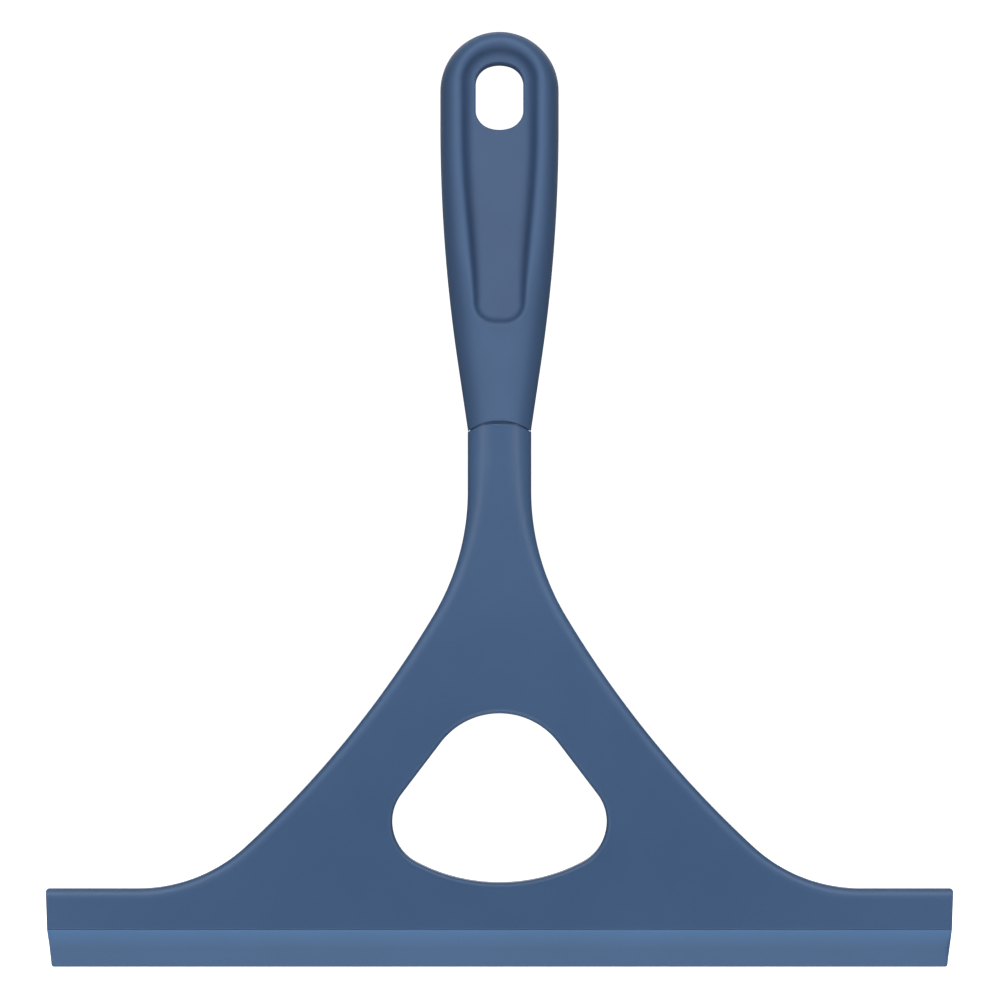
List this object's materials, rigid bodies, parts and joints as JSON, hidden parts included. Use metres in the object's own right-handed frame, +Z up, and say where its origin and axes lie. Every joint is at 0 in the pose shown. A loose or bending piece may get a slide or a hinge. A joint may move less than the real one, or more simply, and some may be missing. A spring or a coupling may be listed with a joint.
{
  "type": "hand squeegee",
  "caption": "T-shaped hand squeegee with a flared, windowed plate, a soft grip with a hanging hole, and a slide-in rubber blade with a flexing lip.",
  "frame": {"origin": "crown of the hanging hole, where a hook bears, on the mid-plane between the two faces", "axes": "+Z up along the handle away from the blade, +X along the blade, -Y the face towards the user; the blade's wiping edge is at the bottom"},
  "size_m": [0.25, 0.0204, 0.2578],
  "materials": {
    "frame_plastic": "satin moulded",
    "grip_skin": "soft matte",
    "blade_rubber": "smooth matte"
  },
  "bodies": {
    "head": {"head_frame": "frame_plastic", "grip_sleeve": "grip_skin"},
    "blade": {"blade_root": "blade_rubber"},
    "lip": {"blade_lip": "blade_rubber"}
  },
  "joints": [
    {"name": "blade_slide", "type": "slide", "parent": "head", "child": "blade", "axis": [1, 0, 0], "range_m": [0, 0.256]},
    {"name": "blade_flex", "type": "hinge", "parent": "blade", "child": "lip", "pos_m": [0, 0, -0.24435], "axis": [1, 0, 0], "range_deg": [-30, 30], "stiffness_Nm_per_rad": 0.1}
  ]
}
